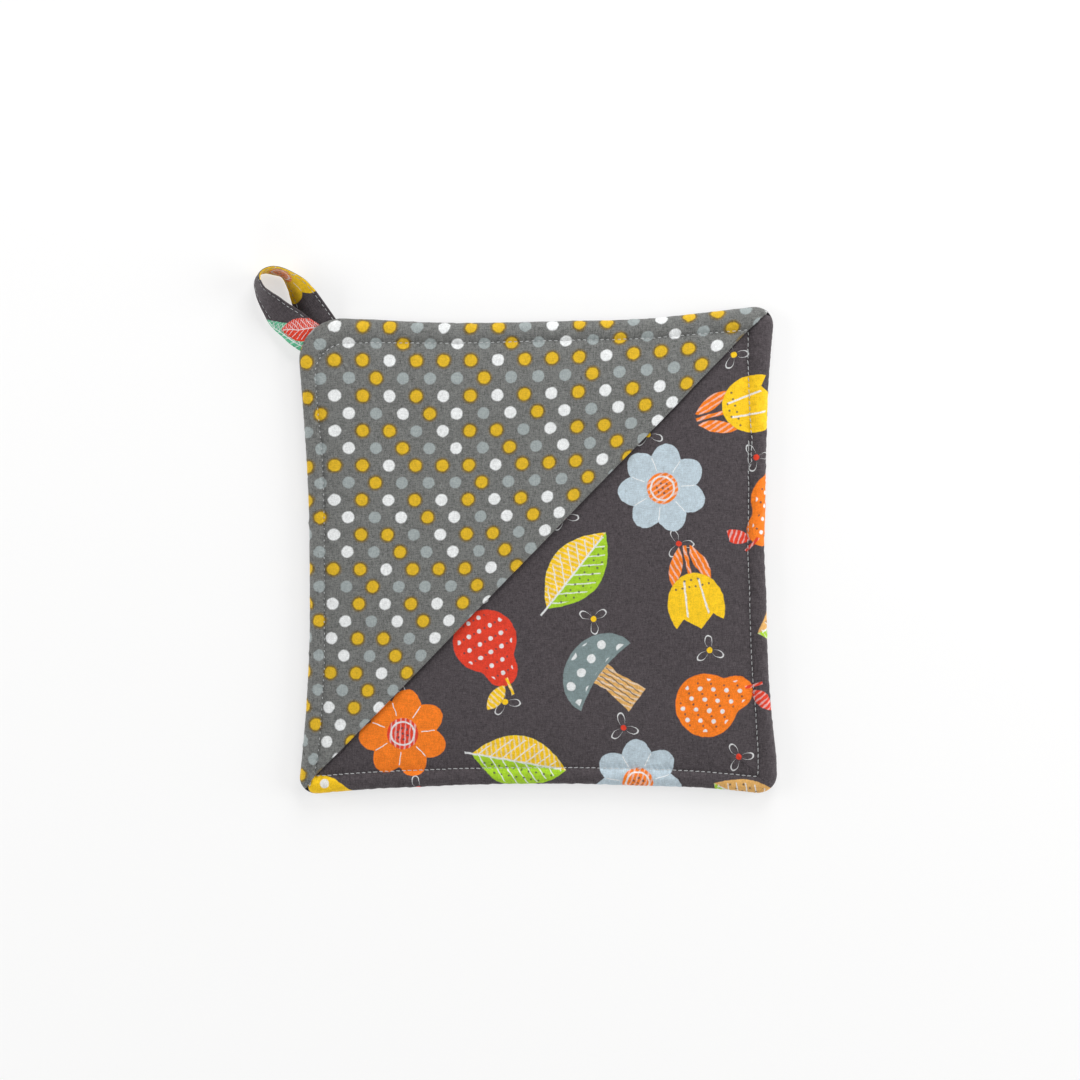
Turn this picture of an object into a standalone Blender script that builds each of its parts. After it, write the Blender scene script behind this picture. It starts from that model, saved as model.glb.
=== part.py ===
"""Quilted pot holder with a corner pocket and a hanging loop, lying on its back.

Units are metres.  X runs to the right of the face, Y to its top, Z out of the face.  The
origin is the middle of the pad on the flat of its back.
"""
import math

import bmesh
import bpy
from mathutils import Vector

MM = 0.001

# Sizes of the pad in plan.
HALF = 103.0 * MM
CORNER_RADIUS = {
    ("left", "top"): 20.5 * MM,
    ("right", "top"): 10.0 * MM,
    ("left", "bottom"): 9.0 * MM,
    ("right", "bottom"): 8.0 * MM,
}
SMALLEST_RADIUS = 3.5 * MM

# How the sewing pulls each corner away from a true square.
CORNER_PULL = {
    ("left", "top"): (-1.0 * MM, -1.3 * MM),
    ("right", "top"): (-1.0 * MM, 3.6 * MM),
    ("left", "bottom"): (-0.7 * MM, -2.6 * MM),
    ("right", "bottom"): (1.2 * MM, -3.1 * MM),
}

# How far the topstitch runs from the rim, at each side's middle and at each corner.
STITCH_INSET = {"left": 6.3 * MM, "right": 7.3 * MM, "top": 9.0 * MM, "bottom": 6.6 * MM}
CORNER_STITCH_INSET = {
    ("left", "top"): 10.5 * MM,
    ("right", "top"): 9.5 * MM,
    ("left", "bottom"): 7.3 * MM,
    ("right", "bottom"): 6.9 * MM,
}
CORNER_STITCH_POWER = 4

# How far each side is drawn in at its middle, how that fades to the corners (a higher
# power fades sooner), and how far the middle of the face shifts up.
DRAW_IN = {"left": 5.2 * MM, "right": 5.5 * MM, "top": 5.2 * MM, "bottom": 5.6 * MM}
DRAW_POWER = {"left": 1.4, "right": 0.9, "top": 1.0, "bottom": 0.65}
MIDDLE_SHIFT = 1.8 * MM

# Thicknesses.
GAP = 0.3 * MM
BACK_CLOTH = 1.2 * MM
LEAF = 1.0 * MM
LEAF_GAP = 0.6 * MM
LOOP_CLOTH = 1.5 * MM
LOOP_WIDTH = 14.2 * MM
LOOP_CLEARANCE = 0.6 * MM
FLAP_DEPTH = GAP + 2.0 * LEAF + LEAF_GAP

# Heights of the section through the rim, the sewn channel and the crown.
SEAM_HEIGHT = 4.0 * MM
FRONT_ROLL = 7.4 * MM
FRONT_ROLL_UNDER_FLAP = 6.2 * MM
PADDING_EDGE_UNDER_FLAP = 3.6 * MM
FRONT_CHANNEL = 5.8 * MM
FRONT_SHOULDER = 7.5 * MM
FRONT_CROWN = 0.9 * MM
BACK_ROLL = 0.25 * MM
BACK_CHANNEL = 1.0 * MM
SWELL = 4.2 * MM
BACK_FLAT_FROM = 6.0 * MM

# The roll takes this share of the way from the rim to the topstitch.
ROLL_SHARE = 0.55
ROLL_STEP = 0.6

# Rings of the pad from the seam (0) over the topstitch (1) to the middle (2).
RING_STEPS = (0.0, 0.1, 0.22, 0.4, 0.62, 0.85, 1.0, 1.03, 1.08, 1.2, 1.42, 1.7, 2.0)
CELLS = 2 * (len(RING_STEPS) - 1)

# Share by which the cells crowd toward the corners, and the stretch of rim over which
# the flap's thickness comes in at each end of its fold.
CROWDING = 0.75
FLAP_BLEND = 0.2

FOLD_SEGMENTS = 3
FOLD_DIRECTION = Vector((196.8, 204.3, 0.0)).normalized()

# Route of the hanging loop's middle line, from inside the front leg's seam round to
# inside the back leg's, with the strip's turn about that line: 0 is face up, 90 is on
# edge and 180 is face down.
LOOP_COLUMNS = ("x_mm", "y_mm", "z_mm", "turn_deg")
LOOP_ROUTE = (
    (-90.5, 86.7, 5.3, 0.0),
    (-97.1, 91.2, 5.3, 0.0),
    (-102.6, 94.9, 5.4, 5.0),
    (-106.3, 98.0, 5.6, 15.0),
    (-110.9, 101.6, 6.0, 27.0),
    (-114.6, 105.7, 6.5, 44.0),
    (-117.5, 109.1, 6.9, 57.0),
    (-119.8, 112.8, 7.4, 75.0),
    (-120.9, 116.8, 7.6, 84.0),
    (-119.4, 120.3, 7.7, 90.0),
    (-115.0, 121.2, 7.7, 95.0),
    (-109.7, 120.0, 7.4, 99.0),
    (-104.6, 115.2, 6.4, 126.0),
    (-101.9, 111.0, 5.4, 143.0),
    (-98.9, 105.2, 4.4, 162.0),
    (-96.4, 101.0, 3.6, 174.0),
    (-93.2, 96.3, 3.3, 180.0),
    (-88.8, 89.7, 3.3, 180.0),
)
LOOP_CELLS_LONG = 44
LOOP_CELLS_WIDE = 4

# A side ends half way round each of its corners.
BEND = 0.25 * math.pi

# Small steps by which a slope is measured, on the cloth grid and along the loop's rows.
GRID_STEP = 0.0005
ROUTE_STEP = 0.01


def side_names(x, y):
    """The names of the sides that a place lies toward."""
    across = "right" if x > 0.0 else "left"
    upward = "top" if y > 0.0 else "bottom"
    return across, upward


def mix(start, end, share):
    """A value between start and end."""
    return start + (end - start) * share


def smooth_share(value):
    """A share that eases from 0 to 1."""
    value = min(max(value, 0.0), 1.0)
    return value * value * (3.0 - 2.0 * value)


def ring_step(radius):
    """The step of RING_STEPS at a radius of the grid, 0 in the middle and 1 at the seam."""
    place = (1.0 - radius) * (len(RING_STEPS) - 1)
    row = min(max(math.floor(place), 0), len(RING_STEPS) - 2)
    return mix(RING_STEPS[row], RING_STEPS[row + 1], place - row)


def rim_inset(step, stitch):
    """How far in from the rim a ring lies, when the topstitch lies at stitch."""
    if step < ROLL_STEP:
        angle = 0.5 * math.pi * step / ROLL_STEP
        return ROLL_SHARE * stitch * (1.0 - math.cos(angle))
    share = min((step - ROLL_STEP) / (1.0 - ROLL_STEP), 1.0)
    return stitch * mix(ROLL_SHARE, 1.0, share)


def rim_height(step, seam, roll, channel):
    """The height of the rolled rim, and of the slope from it down to the channel."""
    if step < ROLL_STEP:
        return mix(seam, roll, math.sin(0.5 * math.pi * step / ROLL_STEP))
    share = min((step - ROLL_STEP) / (1.0 - ROLL_STEP), 1.0)
    return mix(roll, channel, share * share)


def flap_share(u, v):
    """1 where the flap lies over the pad's rim, 0 where it does not."""
    return smooth_share(0.5 + 0.5 * (v - u) / FLAP_BLEND)


def ring_place(u, v, step, hidden):
    """The place of a grid point on the pad's square before the sewing pulls it.

    The grid's rings become squares with round corners; hidden is how far the rim
    stands back under the flap.
    """
    radius = max(abs(u), abs(v), 1e-9)
    across, upward = side_names(u, v)
    inward = min(max(2.0 - step, 0.0), 1.0)
    on_side = abs(u) >= abs(v)
    along = min(min(abs(u), abs(v)) / radius, 1.0)
    insets = []
    for side in (across, upward):
        stitch = mix(STITCH_INSET[side], CORNER_STITCH_INSET[across, upward],
                     along ** CORNER_STITCH_POWER)
        insets.append(hidden + rim_inset(step, stitch - hidden))
    reach_x = (HALF - insets[0]) * inward
    reach_y = (HALF - insets[1]) * inward
    corner = CORNER_RADIUS[across, upward] - 0.5 * (insets[0] + insets[1])
    corner = max(corner, SMALLEST_RADIUS) * inward
    straight = (reach_y if on_side else reach_x) - corner
    full_straight = HALF - CORNER_RADIUS[across, upward]
    full_bend = CORNER_RADIUS[across, upward] * BEND
    bend_from = full_straight / (full_straight + full_bend)
    crowded = mix(along, math.sin(0.5 * math.pi * along), CROWDING)
    angle = BEND * max(crowded - bend_from, 0.0) / (1.0 - bend_from)
    far = (reach_x if on_side else reach_y) - corner * (1.0 - math.cos(angle))
    near = straight * min(crowded / bend_from, 1.0) + corner * math.sin(angle)
    x, y = (far, near) if on_side else (near, far)
    return math.copysign(x, u), math.copysign(y, v)


def pulled(x, y):
    """The place of a point after the sewing has pulled corners out and drawn sides in."""
    across = x / HALF
    upward = y / HALF
    moved = Vector((x, y, 0.0))
    for (side, end), pull in CORNER_PULL.items():
        weight_x = 0.5 + 0.5 * across * (1.0 if side == "right" else -1.0)
        weight_y = 0.5 + 0.5 * upward * (1.0 if end == "top" else -1.0)
        moved += Vector((pull[0], pull[1], 0.0)) * weight_x * weight_y
    side, end = side_names(x, y)
    hollow_x = DRAW_IN[side] * max(1.0 - upward * upward, 0.0) ** DRAW_POWER[side]
    hollow_y = DRAW_IN[end] * max(1.0 - across * across, 0.0) ** DRAW_POWER[end]
    moved.x -= math.copysign(hollow_x * across * across, x)
    moved.y -= math.copysign(hollow_y * upward * upward, y)
    moved.y += MIDDLE_SHIFT * (1.0 - across * across) * (1.0 - upward * upward)
    return moved


def front_face(u, v):
    """The outer face of the padded front at a grid point."""
    step = ring_step(max(abs(u), abs(v)))
    under = flap_share(u, v)
    x, y = ring_place(u, v, step, FLAP_DEPTH * under)
    roll = mix(FRONT_ROLL, FRONT_ROLL_UNDER_FLAP, under)
    place = pulled(x, y)
    place.z = rim_height(step, SEAM_HEIGHT + 0.5 * GAP, roll, FRONT_CHANNEL)
    past = (step - 1.0) * HALF
    if past > 0.0:
        place.z = mix(FRONT_CHANNEL, FRONT_SHOULDER, 1.0 - math.exp(-past / SWELL))
        place.z += FRONT_CROWN * (1.0 - (x / HALF) ** 2) * (1.0 - (y / HALF) ** 2)
    return place


def back_face(u, v):
    """The outer face of the back panel at a grid point."""
    step = ring_step(max(abs(u), abs(v)))
    x, y = ring_place(u, v, step, 0.0)
    place = pulled(x, y)
    place.z = rim_height(step, SEAM_HEIGHT - 0.5 * GAP, BACK_ROLL, BACK_CHANNEL)
    past = (step - 1.0) * HALF
    if past > 0.0:
        place.z = mix(BACK_CHANNEL, 0.0, smooth_share(past / BACK_FLAT_FROM))
    return place


def lifted(face, u, v, height):
    """A point above a face: square to it on the rolled rim, and straight up elsewhere."""
    normal = Vector((0.0, 0.0, 1.0))
    if ring_step(max(abs(u), abs(v))) < ROLL_STEP:
        ahead = face(u + GRID_STEP, v) - face(u - GRID_STEP, v)
        above = face(u, v + GRID_STEP) - face(u, v - GRID_STEP)
        normal = ahead.cross(above).normalized()
    return face(u, v) + normal * height


def cloth_material(name, colour, roughness):
    """A plain cloth material in a part's own colour."""
    material = bpy.data.materials.new(name)
    material.use_nodes = True
    shader = material.node_tree.nodes["Principled BSDF"]
    shader.inputs["Base Color"].default_value = (*colour, 1.0)
    shader.inputs["Roughness"].default_value = roughness
    shader.inputs["Metallic"].default_value = 0.0
    material.diffuse_color = (*colour, 1.0)
    return material


def finished(name, mesh, collection, material):
    """Turn a bmesh into a smooth, named object of a collection."""
    data = bpy.data.meshes.new(name)
    mesh.normal_update()
    mesh.to_mesh(data)
    mesh.free()
    data.shade_smooth()
    data.materials.append(material)
    piece = bpy.data.objects.new(name, data)
    collection.objects.link(piece)
    return piece


def cloth_grid():
    """The flat grid that every cloth is shaped from.  Its cells are cut toward the middle,
    the same way for every cloth, so that cloths which lie on each other stay apart."""
    mesh = bmesh.new()
    bmesh.ops.create_grid(mesh, x_segments=CELLS, y_segments=CELLS, size=1.0)
    middles = {face: face.calc_center_median() for face in mesh.faces}
    rising = [face for face, middle in middles.items() if middle.x * middle.y > 0.0]
    falling = [face for face, middle in middles.items() if middle.x * middle.y < 0.0]
    bmesh.ops.triangulate(mesh, faces=rising, quad_method="FIXED")
    bmesh.ops.triangulate(mesh, faces=falling, quad_method="ALTERNATE")
    return mesh


def solid_between(lower, upper):
    """A closed solid over the whole grid, between two functions of the grid point."""
    mesh = cloth_grid()
    raised = bmesh.ops.extrude_face_region(mesh, geom=mesh.faces[:])
    for vertex in raised["geom"]:
        if isinstance(vertex, bmesh.types.BMVert):
            vertex.co.z = 1.0
    for vertex in mesh.verts:
        shape = upper if vertex.co.z > 0.5 else lower
        vertex.co = shape(vertex.co.x, vertex.co.y)
    return mesh


def pad_underside(u, v):
    """The face of the padding that lies in the back panel's dish, GAP above its cloth."""
    if max(abs(u), abs(v)) < 1.0 - 1e-6:
        return lifted(back_face, u, v, BACK_CLOTH + GAP)
    under = flap_share(u, v)
    x, y = ring_place(u, v, 0.0, mix(BACK_CLOTH + GAP, FLAP_DEPTH, under))
    place = pulled(x, y)
    place.z = mix(SEAM_HEIGHT + 0.5 * GAP, PADDING_EDGE_UNDER_FLAP, under)
    return place


def build_padded_front(collection):
    mesh = solid_between(pad_underside, front_face)
    material = cloth_material("charcoal_print_cotton", (0.068, 0.056, 0.061), 0.9)
    return finished("padded_front", mesh, collection, material)


def build_back_panel(collection):
    mesh = solid_between(back_face, lambda u, v: lifted(back_face, u, v, BACK_CLOTH))
    material = cloth_material("charcoal_plain_cotton", (0.062, 0.052, 0.056), 0.92)
    return finished("back_panel", mesh, collection, material)


def flap_place(u, v, turn):
    """The middle of the flap's cloth: turn 0 is the lower leaf, 1 the upper leaf, and
    between them the cloth goes round the fold."""
    low = GAP + 0.5 * LEAF
    high = FLAP_DEPTH - 0.5 * LEAF
    lift = mix(low, high, 0.5 - 0.5 * math.cos(math.pi * turn))
    bulge = 0.5 * (high - low) * math.sin(math.pi * turn)
    outward = Vector((FOLD_DIRECTION.y, -FOLD_DIRECTION.x, 0.0))
    place = lifted(front_face, u, v, lift) + outward * bulge
    place.z = max(place.z, SEAM_HEIGHT + 1.5 * GAP)
    return place


def folded_triangle():
    """A cloth sheet folded corner to corner, in grid coordinates, with Z as its turn."""
    mesh = cloth_grid()
    everything = mesh.verts[:] + mesh.edges[:] + mesh.faces[:]
    bmesh.ops.bisect_plane(mesh, geom=everything, dist=1e-6, plane_co=(0.0, 0.0, 0.0),
                           plane_no=(1.0, -1.0, 0.0), clear_outer=True)
    raised = bmesh.ops.extrude_face_region(mesh, geom=mesh.faces[:])
    for vertex in raised["geom"]:
        if isinstance(vertex, bmesh.types.BMVert):
            vertex.co.z = 1.0
    walls = [face for face in mesh.faces if len({round(v.co.z) for v in face.verts}) == 2]
    outer = [face for face in walls if any(v.co.y - v.co.x > 1e-5 for v in face.verts)]
    bmesh.ops.delete(mesh, geom=outer, context="FACES_ONLY")
    loose = [edge for edge in mesh.edges if not edge.link_faces]
    bmesh.ops.delete(mesh, geom=loose, context="EDGES")
    upright = [edge for edge in mesh.edges if abs(edge.verts[0].co.z - edge.verts[1].co.z) > 0.5]
    bmesh.ops.subdivide_edges(mesh, edges=upright, cuts=FOLD_SEGMENTS - 1)
    return mesh


def build_pocket_flap(collection):
    mesh = folded_triangle()
    for vertex in mesh.verts:
        vertex.co = flap_place(*vertex.co)
    material = cloth_material("grey_dotted_cotton", (0.162, 0.165, 0.156), 0.9)
    flap = finished("pocket_flap", mesh, collection, material)
    thicken = flap.modifiers.new("leaf", "SOLIDIFY")
    thicken.thickness = LEAF
    thicken.offset = 0.0
    return flap


def loop_value(column, along):
    """A smooth value of one column of LOOP_ROUTE, at a place counted in rows."""
    row = min(max(math.floor(along), 0), len(LOOP_ROUTE) - 2)
    share = along - row
    last = len(LOOP_ROUTE) - 1
    near = [LOOP_ROUTE[min(max(row + step, 0), last)][column] for step in (-1, 0, 1, 2)]
    slope_start = 0.5 * (near[2] - near[0])
    slope_end = 0.5 * (near[3] - near[1])
    chord = near[2] - near[1]
    cubic = slope_start + slope_end - 2.0 * chord
    square = chord - slope_start - cubic
    return near[1] + share * (slope_start + share * (square + share * cubic))


def loop_place(along, across):
    """A point of the loop's strip: along its route in rows, across its width -0.5 to 0.5."""
    x, y, z, turn = (LOOP_COLUMNS.index(name) for name in LOOP_COLUMNS)
    middle = Vector([loop_value(column, along) * MM for column in (x, y, z)])
    ahead = Vector([loop_value(column, along + ROUTE_STEP) * MM for column in (x, y, z)])
    tangent = (ahead - middle).normalized()
    level = Vector((0.0, 0.0, 1.0)).cross(tangent).normalized()
    upright = tangent.cross(level)
    angle = math.radians(loop_value(turn, along))
    return middle + (level * math.cos(angle) - upright * math.sin(angle)) * across * LOOP_WIDTH


def build_hanging_loop(collection, cutter):
    mesh = bmesh.new()
    bmesh.ops.create_grid(mesh, x_segments=LOOP_CELLS_LONG, y_segments=LOOP_CELLS_WIDE, size=0.5)
    for vertex in mesh.verts:
        along = (vertex.co.x + 0.5) * (len(LOOP_ROUTE) - 1)
        vertex.co = loop_place(along, vertex.co.y)
    material = cloth_material("charcoal_loop_cotton", (0.075, 0.06, 0.065), 0.9)
    loop = finished("hanging_loop", mesh, collection, material)
    thicken = loop.modifiers.new("cloth", "SOLIDIFY")
    thicken.thickness = LOOP_CLOTH
    thicken.offset = 0.0
    trim = loop.modifiers.new("seam", "BOOLEAN")
    trim.operation = "DIFFERENCE"
    trim.object = cutter
    clean = loop.modifiers.new("clean", "WELD")
    clean.merge_threshold = 0.05 * MM
    return loop


def build_rim_cutter(collection):
    """The pad with all its cloth, a little larger all round, which ends the loop's legs."""
    def under(u, v):
        return lifted(back_face, u, v, -LOOP_CLEARANCE)

    def over(u, v):
        return lifted(front_face, u, v, FLAP_DEPTH + LOOP_CLEARANCE)

    mesh = solid_between(under, over)
    cutter = finished("rim_cutter", mesh, collection, cloth_material("cutter", (0.5, 0.5, 0.5), 1.0))
    cutter.display_type = "WIRE"
    cutter.hide_render = True
    return cutter


def main():
    for piece in list(bpy.data.objects):
        bpy.data.objects.remove(piece)
    parts = bpy.data.collections.new("quilted_pot_holder")
    cutters = bpy.data.collections.new("cutters")
    for collection in (parts, cutters):
        bpy.context.scene.collection.children.link(collection)
    build_back_panel(parts)
    build_padded_front(parts)
    build_pocket_flap(parts)
    build_hanging_loop(parts, build_rim_cutter(cutters))


main()
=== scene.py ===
"""The looks of a quilted pot holder: printed padded front, dotted corner pocket, plain back,
hanging loop and topstitching, lying on a pale floor under soft studio light.

Units are metres.  X runs to the right of the face, Y to its top, Z out of the face.  Grid
coordinates u and v run from -1 to 1 over the pad, and each cloth is shaped from them.
"""
import math

import bmesh
import bpy
import numpy as np
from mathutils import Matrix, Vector


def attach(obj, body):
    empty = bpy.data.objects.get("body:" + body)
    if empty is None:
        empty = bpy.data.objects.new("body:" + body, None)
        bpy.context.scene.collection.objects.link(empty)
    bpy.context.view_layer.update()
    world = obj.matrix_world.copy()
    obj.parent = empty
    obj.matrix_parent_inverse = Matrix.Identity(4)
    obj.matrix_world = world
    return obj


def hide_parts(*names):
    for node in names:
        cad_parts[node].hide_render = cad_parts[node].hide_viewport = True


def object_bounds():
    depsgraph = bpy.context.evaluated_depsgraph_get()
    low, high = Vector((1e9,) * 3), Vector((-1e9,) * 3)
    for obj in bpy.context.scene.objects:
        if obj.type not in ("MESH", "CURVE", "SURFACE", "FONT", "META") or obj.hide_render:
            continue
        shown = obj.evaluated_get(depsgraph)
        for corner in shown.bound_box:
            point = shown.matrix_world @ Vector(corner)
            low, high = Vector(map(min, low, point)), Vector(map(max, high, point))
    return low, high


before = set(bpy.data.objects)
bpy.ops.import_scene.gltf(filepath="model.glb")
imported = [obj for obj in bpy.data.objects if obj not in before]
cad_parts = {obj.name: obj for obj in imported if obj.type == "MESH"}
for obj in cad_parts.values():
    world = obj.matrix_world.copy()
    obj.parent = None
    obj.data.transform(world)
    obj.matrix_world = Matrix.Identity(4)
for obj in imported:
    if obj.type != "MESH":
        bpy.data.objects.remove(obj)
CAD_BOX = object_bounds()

MM = 0.001

# Sizes of the pad in plan. Corners are listed as left top, right top, left bottom and right
# bottom, and the signs of x and y say which is which.
HALF = 103.0 * MM
CORNER_SIGNS = ((-1.0, 1.0), (1.0, 1.0), (-1.0, -1.0), (1.0, -1.0))
CORNER_RADIUS = (20.5 * MM, 10.0 * MM, 9.0 * MM, 10.5 * MM)
STITCH_CORNER_RADIUS = (14.5 * MM, 1.2 * MM, 1.6 * MM, 1.6 * MM)
CORNER_PULL_X = (-1.0 * MM, -1.0 * MM, -0.7 * MM, 1.2 * MM)
CORNER_PULL_Y = (-1.3 * MM, 3.6 * MM, -2.6 * MM, -3.1 * MM)
DRAW_IN = {"left": 5.2 * MM, "right": 5.5 * MM, "top": 5.2 * MM, "bottom": 5.6 * MM}
DRAW_POWER = {"left": 1.4, "right": 0.9, "top": 1.0, "bottom": 0.65}
MIDDLE_SHIFT = 1.8 * MM
CROWDING = 0.75
BEND = 0.25 * math.pi

# Millimetres from the rim in to the topstitch, and that the rim strays outward, at even steps
# along each side from left to right or from bottom to top.
STITCH_INSET = {
    "left": (6.2, 6.6, 7.3, 7.4, 7.5, 6.9, 7.1, 7.3, 7.5, 6.7, 6.7, 6.9, 7.5),
    "right": (8.1, 8.5, 8.0, 7.3, 7.7, 8.0, 7.9, 8.1, 7.6, 8.7, 10.3, 10.9, 10.6),
    "top": (10.8, 11.5, 11.1, 10.5, 9.9, 9.7, 9.4, 9.4, 9.5, 9.5, 9.8, 9.9, 9.7),
    "bottom": (7.4, 7.8, 7.6, 7.6, 7.6, 7.5, 7.3, 7.5, 7.7, 7.3, 7.1, 7.1, 7.0),
}
RIM_STRAY = {
    "left": (0.0, -0.6, -0.9, -0.8, -0.6, -0.1, 0.2, 0.2, 0.3, 0.4, 0.5, 0.6, 0.4),
    "right": (0.0, 1.2, 0.7, 0.5, 0.8, 1.0, 0.4, 1.0, 1.0, 0.9, 0.7, 0.9, 1.1),
    "top": (0.0, 0.4, 0.6, 0.2, 0.0, 0.2, 0.3, 0.2, -0.4, -0.6, -0.1, 0.3, 0.3),
    "bottom": (1.0, 1.2, 1.0, 1.1, 0.8, 0.6, 0.5, 0.4, 0.6, 0.5, 0.2, 0.4, 0.7),
}
SIDE_STEPS = np.linspace(-1.0, 1.0, 13)
USUAL_INSET = 7.0 * MM

# Real thicknesses of the cloths and the small gaps between them.
GAP = 0.12 * MM
BACK_CLOTH = 0.5 * MM
LEAF = 0.36 * MM
LEAF_GAP = 0.3 * MM
FLAP_DEPTH = GAP + 2.0 * LEAF + LEAF_GAP
FLAP_BLEND = 0.1

# Heights of the section through the rim, the sewn channel and the crown.
SEAM_HEIGHT = 4.0 * MM
SEAM_TUCK = 0.3 * MM
FRONT_ROLL = 7.7 * MM
FRONT_ROLL_UNDER_FLAP = 7.4 * MM
FRONT_CHANNEL = 5.9 * MM
FRONT_SHOULDER = 7.8 * MM
FRONT_CROWN = 1.0 * MM
BACK_ROLL = 0.2 * MM
BACK_CHANNEL = 1.1 * MM
BACK_FLAT_FROM = 6.0 * MM
SWELL = 5.2 * MM

# Rings of the cloth grid by radius, and their steps: 0 at the seam, 1 at the topstitch and 2
# in the middle. The roll goes up to ROLL_STEP, by ROLL_SHARE of the way to the topstitch.
ROLL_SHARE = 0.55
ROLL_STEP = 0.6
STITCH_RADIUS = 0.8
RING_RADII = (0.0, 0.62, 0.74, STITCH_RADIUS, 1.0, 1.2)
RING_STEPS = (2.0, 1.18, 1.03, 1.0, 0.0, -1.0)
CELLS = 160
SLOPE_STEP = 0.0005
TINY = 1e-6

# The pocket's mouth stands a little off the pad, and its fold lies back from the diagonal.
FOLD_DIRECTION = Vector((196.8, 204.3, 0.0)).normalized()
FOLD_SEGMENTS = 6
MOUTH_LIFT = 0.7 * MM
MOUTH_WIDTH = 0.13
FOLD_DRAWN = 0.55 * MM

# The seam opens for the two legs of the loop at the upper left corner.
LOOP_ENTRY = (-96.5 * MM, 94.5 * MM)
LOOP_ENTRY_REACH = 7.5 * MM
LOOP_PARTS_FRONT = 1.5 * MM
LOOP_PARTS_BACK = 1.0 * MM

# Settling of the outer cloths, worked out ten times as large as it is.
SETTLE_CELLS = 120
SETTLE_SCALE = 10.0
SETTLE_FRAMES = 20
SETTLE_LIMIT = 0.9 * MM
SETTLE_ROUGHNESS = 0.08 * MM
SPARE_CLOTH = 0.014
SETTLE_SETTINGS = {
    "quality": 6,
    "mass": 0.2,
    "tension_stiffness": 20.0,
    "compression_stiffness": 20.0,
    "shear_stiffness": 8.0,
    "bending_stiffness": 0.08,
    "vertex_group_mass": "held",
    "pin_stiffness": 1.0,
    "use_pressure": True,
    "uniform_pressure_force": 4.0,
    "shrink_min": -SPARE_CLOTH,
    "shrink_max": -SPARE_CLOTH,
}

# How firmly the cloths are held in place, by ring step, and the least for the back, which
# lies on the floor. The firmly held points start without roughness.
HELD_STEPS = (0.0, 0.25, 0.8, 0.97, 1.0, 1.03, 1.25, 1.6)
HELD_SHARES = (0.75, 0.2, 0.12, 0.5, 1.0, 0.5, 0.16, 0.45)
BACK_HELD_STEPS = (1.03, 1.12)
BACK_HELD_SHARES = (0.3, 0.9)
FIRMLY = 0.9

CALM_FROM = 1.05
CALM_OVER = 0.2
CALM_PASSES = 24

# Stitches, and the share of each that shows by the side that it is on.
STITCH_PITCH = 2.5 * MM
STITCH_SLANT = 0.0015
STITCH_DRIFT = 0.0012
STITCH_SHOWS = {"left": 0.42, "right": 0.8, "top": 0.62, "bottom": 0.78}
THREAD = 0.37 * MM
LOOP_THREAD = 0.24 * MM
THREAD_SECTIONS = 7
THREAD_SIDES = 8
THREAD_ARCH = 0.33
THREAD_SUNK = 0.25
THREAD_TIP = 0.02
RUN_STEPS = 400

# The stitching starts and ends on the right side, with its two ends side by side.
BACKTACK = (37.5 * MM, 47.5 * MM)
BACKTACK_OFF = 0.65 * MM
BACKTACK_EASE = (9.0 * MM, 13.0 * MM)
BACKTACK_STITCHES = 4
BACKTACK_SLANT = 0.003
RADIUS_A_METRE = 23.0

# The loop's middle line from the front leg's seam round to the back leg's, in millimetres,
# with the strip's turn: 0 is face up, 90 on edge and 180 face down.
LOOP_ROUTE = (
    (-90.5, 86.7, 5.0, 0.0),
    (-97.1, 91.2, 5.0, 0.0),
    (-102.6, 94.9, 5.2, 5.0),
    (-106.3, 98.0, 5.6, 15.0),
    (-110.9, 101.6, 6.0, 27.0),
    (-114.6, 105.7, 6.5, 44.0),
    (-117.5, 109.1, 6.9, 57.0),
    (-120.0, 112.8, 7.4, 69.0),
    (-121.1, 116.8, 7.6, 75.0),
    (-119.6, 120.2, 7.7, 84.0),
    (-115.0, 121.2, 7.7, 97.0),
    (-109.7, 120.0, 7.4, 103.0),
    (-104.6, 115.2, 6.4, 126.0),
    (-101.9, 111.0, 5.4, 143.0),
    (-98.9, 105.2, 4.4, 162.0),
    (-96.4, 101.0, 3.6, 174.0),
    (-93.2, 96.3, 3.4, 180.0),
    (-88.8, 89.7, 3.4, 180.0),
)
LOOP_WIDTH = 14.2 * MM
LOOP_CLOTH = 1.3 * MM
LOOP_EDGE_POWER = 0.42
LOOP_FACE_POWER = 0.5
LOOP_STITCH_ROWS = (-5.9 * MM, 4.8 * MM)
LOOP_PRESSED = 0.35
LOOP_PRESSED_OVER = 0.8 * MM
LOOP_CELLS_LONG = 180
LOOP_CELLS_ROUND = 48
LOOP_FINE_STEPS = 800
LOOP_SLOPE_STEP = 0.01
LOOP_STITCH_SPAN = (0.16, 0.84)
LOOP_STITCH_HEIGHT = 0.33


def mix(start, end, share):
    return start + (end - start) * share


def smooth_share(value):
    """A share that eases from 0 to 1."""
    value = np.clip(value, 0.0, 1.0)
    return value * value * (3.0 - 2.0 * value)


def unit(vectors):
    return vectors / np.linalg.norm(vectors, axis=-1, keepdims=True)


def lengths_along(places):
    """The length of a line up to each of its places."""
    return np.concatenate([[0.0], np.cumsum(np.linalg.norm(np.diff(places, axis=0), axis=1))])


def by_side(table, low, high, place):
    """The table's value for the low or the high side, by the sign of a place."""
    return np.where(place > 0.0, table[high], table[low])


def by_corner(values, u, v):
    """The value for the corner that each point lies toward."""
    left_top, right_top, left_bottom, right_bottom = values
    top = np.where(u > 0.0, right_top, left_top)
    return np.where(v > 0.0, top, np.where(u > 0.0, right_bottom, left_bottom))


def along_side(table, low, high, place, along):
    """The table's value at a place along the low or the high side."""
    values = {side: np.interp(along, SIDE_STEPS, table[side]) for side in (low, high)}
    return by_side(values, low, high, place) * MM


def ring_radius(u, v):
    return np.maximum(abs(u), abs(v))


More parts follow.
